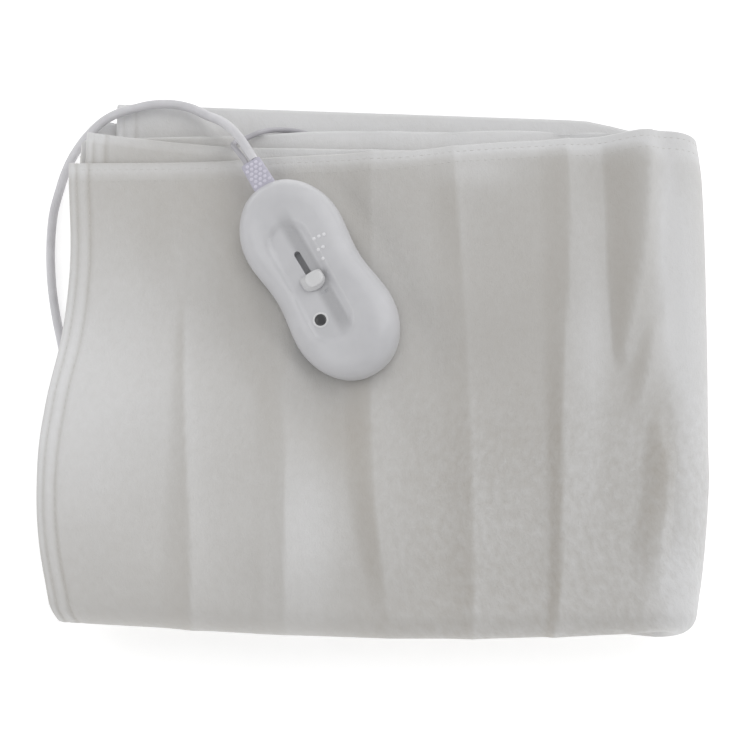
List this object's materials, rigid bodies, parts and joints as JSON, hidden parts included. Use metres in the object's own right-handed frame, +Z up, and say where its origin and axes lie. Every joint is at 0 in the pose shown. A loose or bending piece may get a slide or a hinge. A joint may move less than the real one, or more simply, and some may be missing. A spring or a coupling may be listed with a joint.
{
  "type": "massage table warmer",
  "caption": "Fleece warming blanket folded into a flat stack, with a slide controller lying on top and its supply cord and thin lead running into the folds.",
  "frame": {"origin": "on the flat underside of the folded stack, near its middle", "axes": "+Z up from the surface it lies on; +X towards the large rounded fold, along the folded stack's longer side; +Y towards the side where the layers' far edges and the cords show"},
  "size_m": [0.3916, 0.3277, 0.0775],
  "materials": {
    "fleece": "soft brushed fleece",
    "shell": "satin",
    "knob": "satin",
    "lens": "gloss",
    "relief": "matte",
    "cord": "satin sheath",
    "plug": "matte",
    "blade": "plain"
  },
  "bodies": {
    "warmer": {"blanket": "fleece", "housing_upper": "shell", "housing_lower": "shell", "indicator_lens": "lens", "cord_relief": "relief", "mains_cord": "cord", "mains_cord_coil": "cord", "mains_cord_tail": "cord", "plug_body": "plug", "plug_blade_left": "blade", "plug_blade_right": "blade", "blanket_lead": "cord", "blanket_lead_coil": "cord", "blanket_lead_tail": "cord", "lead_boot": "cord"},
    "slider": {"slide_knob": "knob"}
  },
  "joints": [
    {"name": "heat_slide", "type": "slide", "parent": "warmer", "child": "slider", "axis": [-0.5045, 0.8634, 0], "range_m": [0, 0.018]}
  ]
}
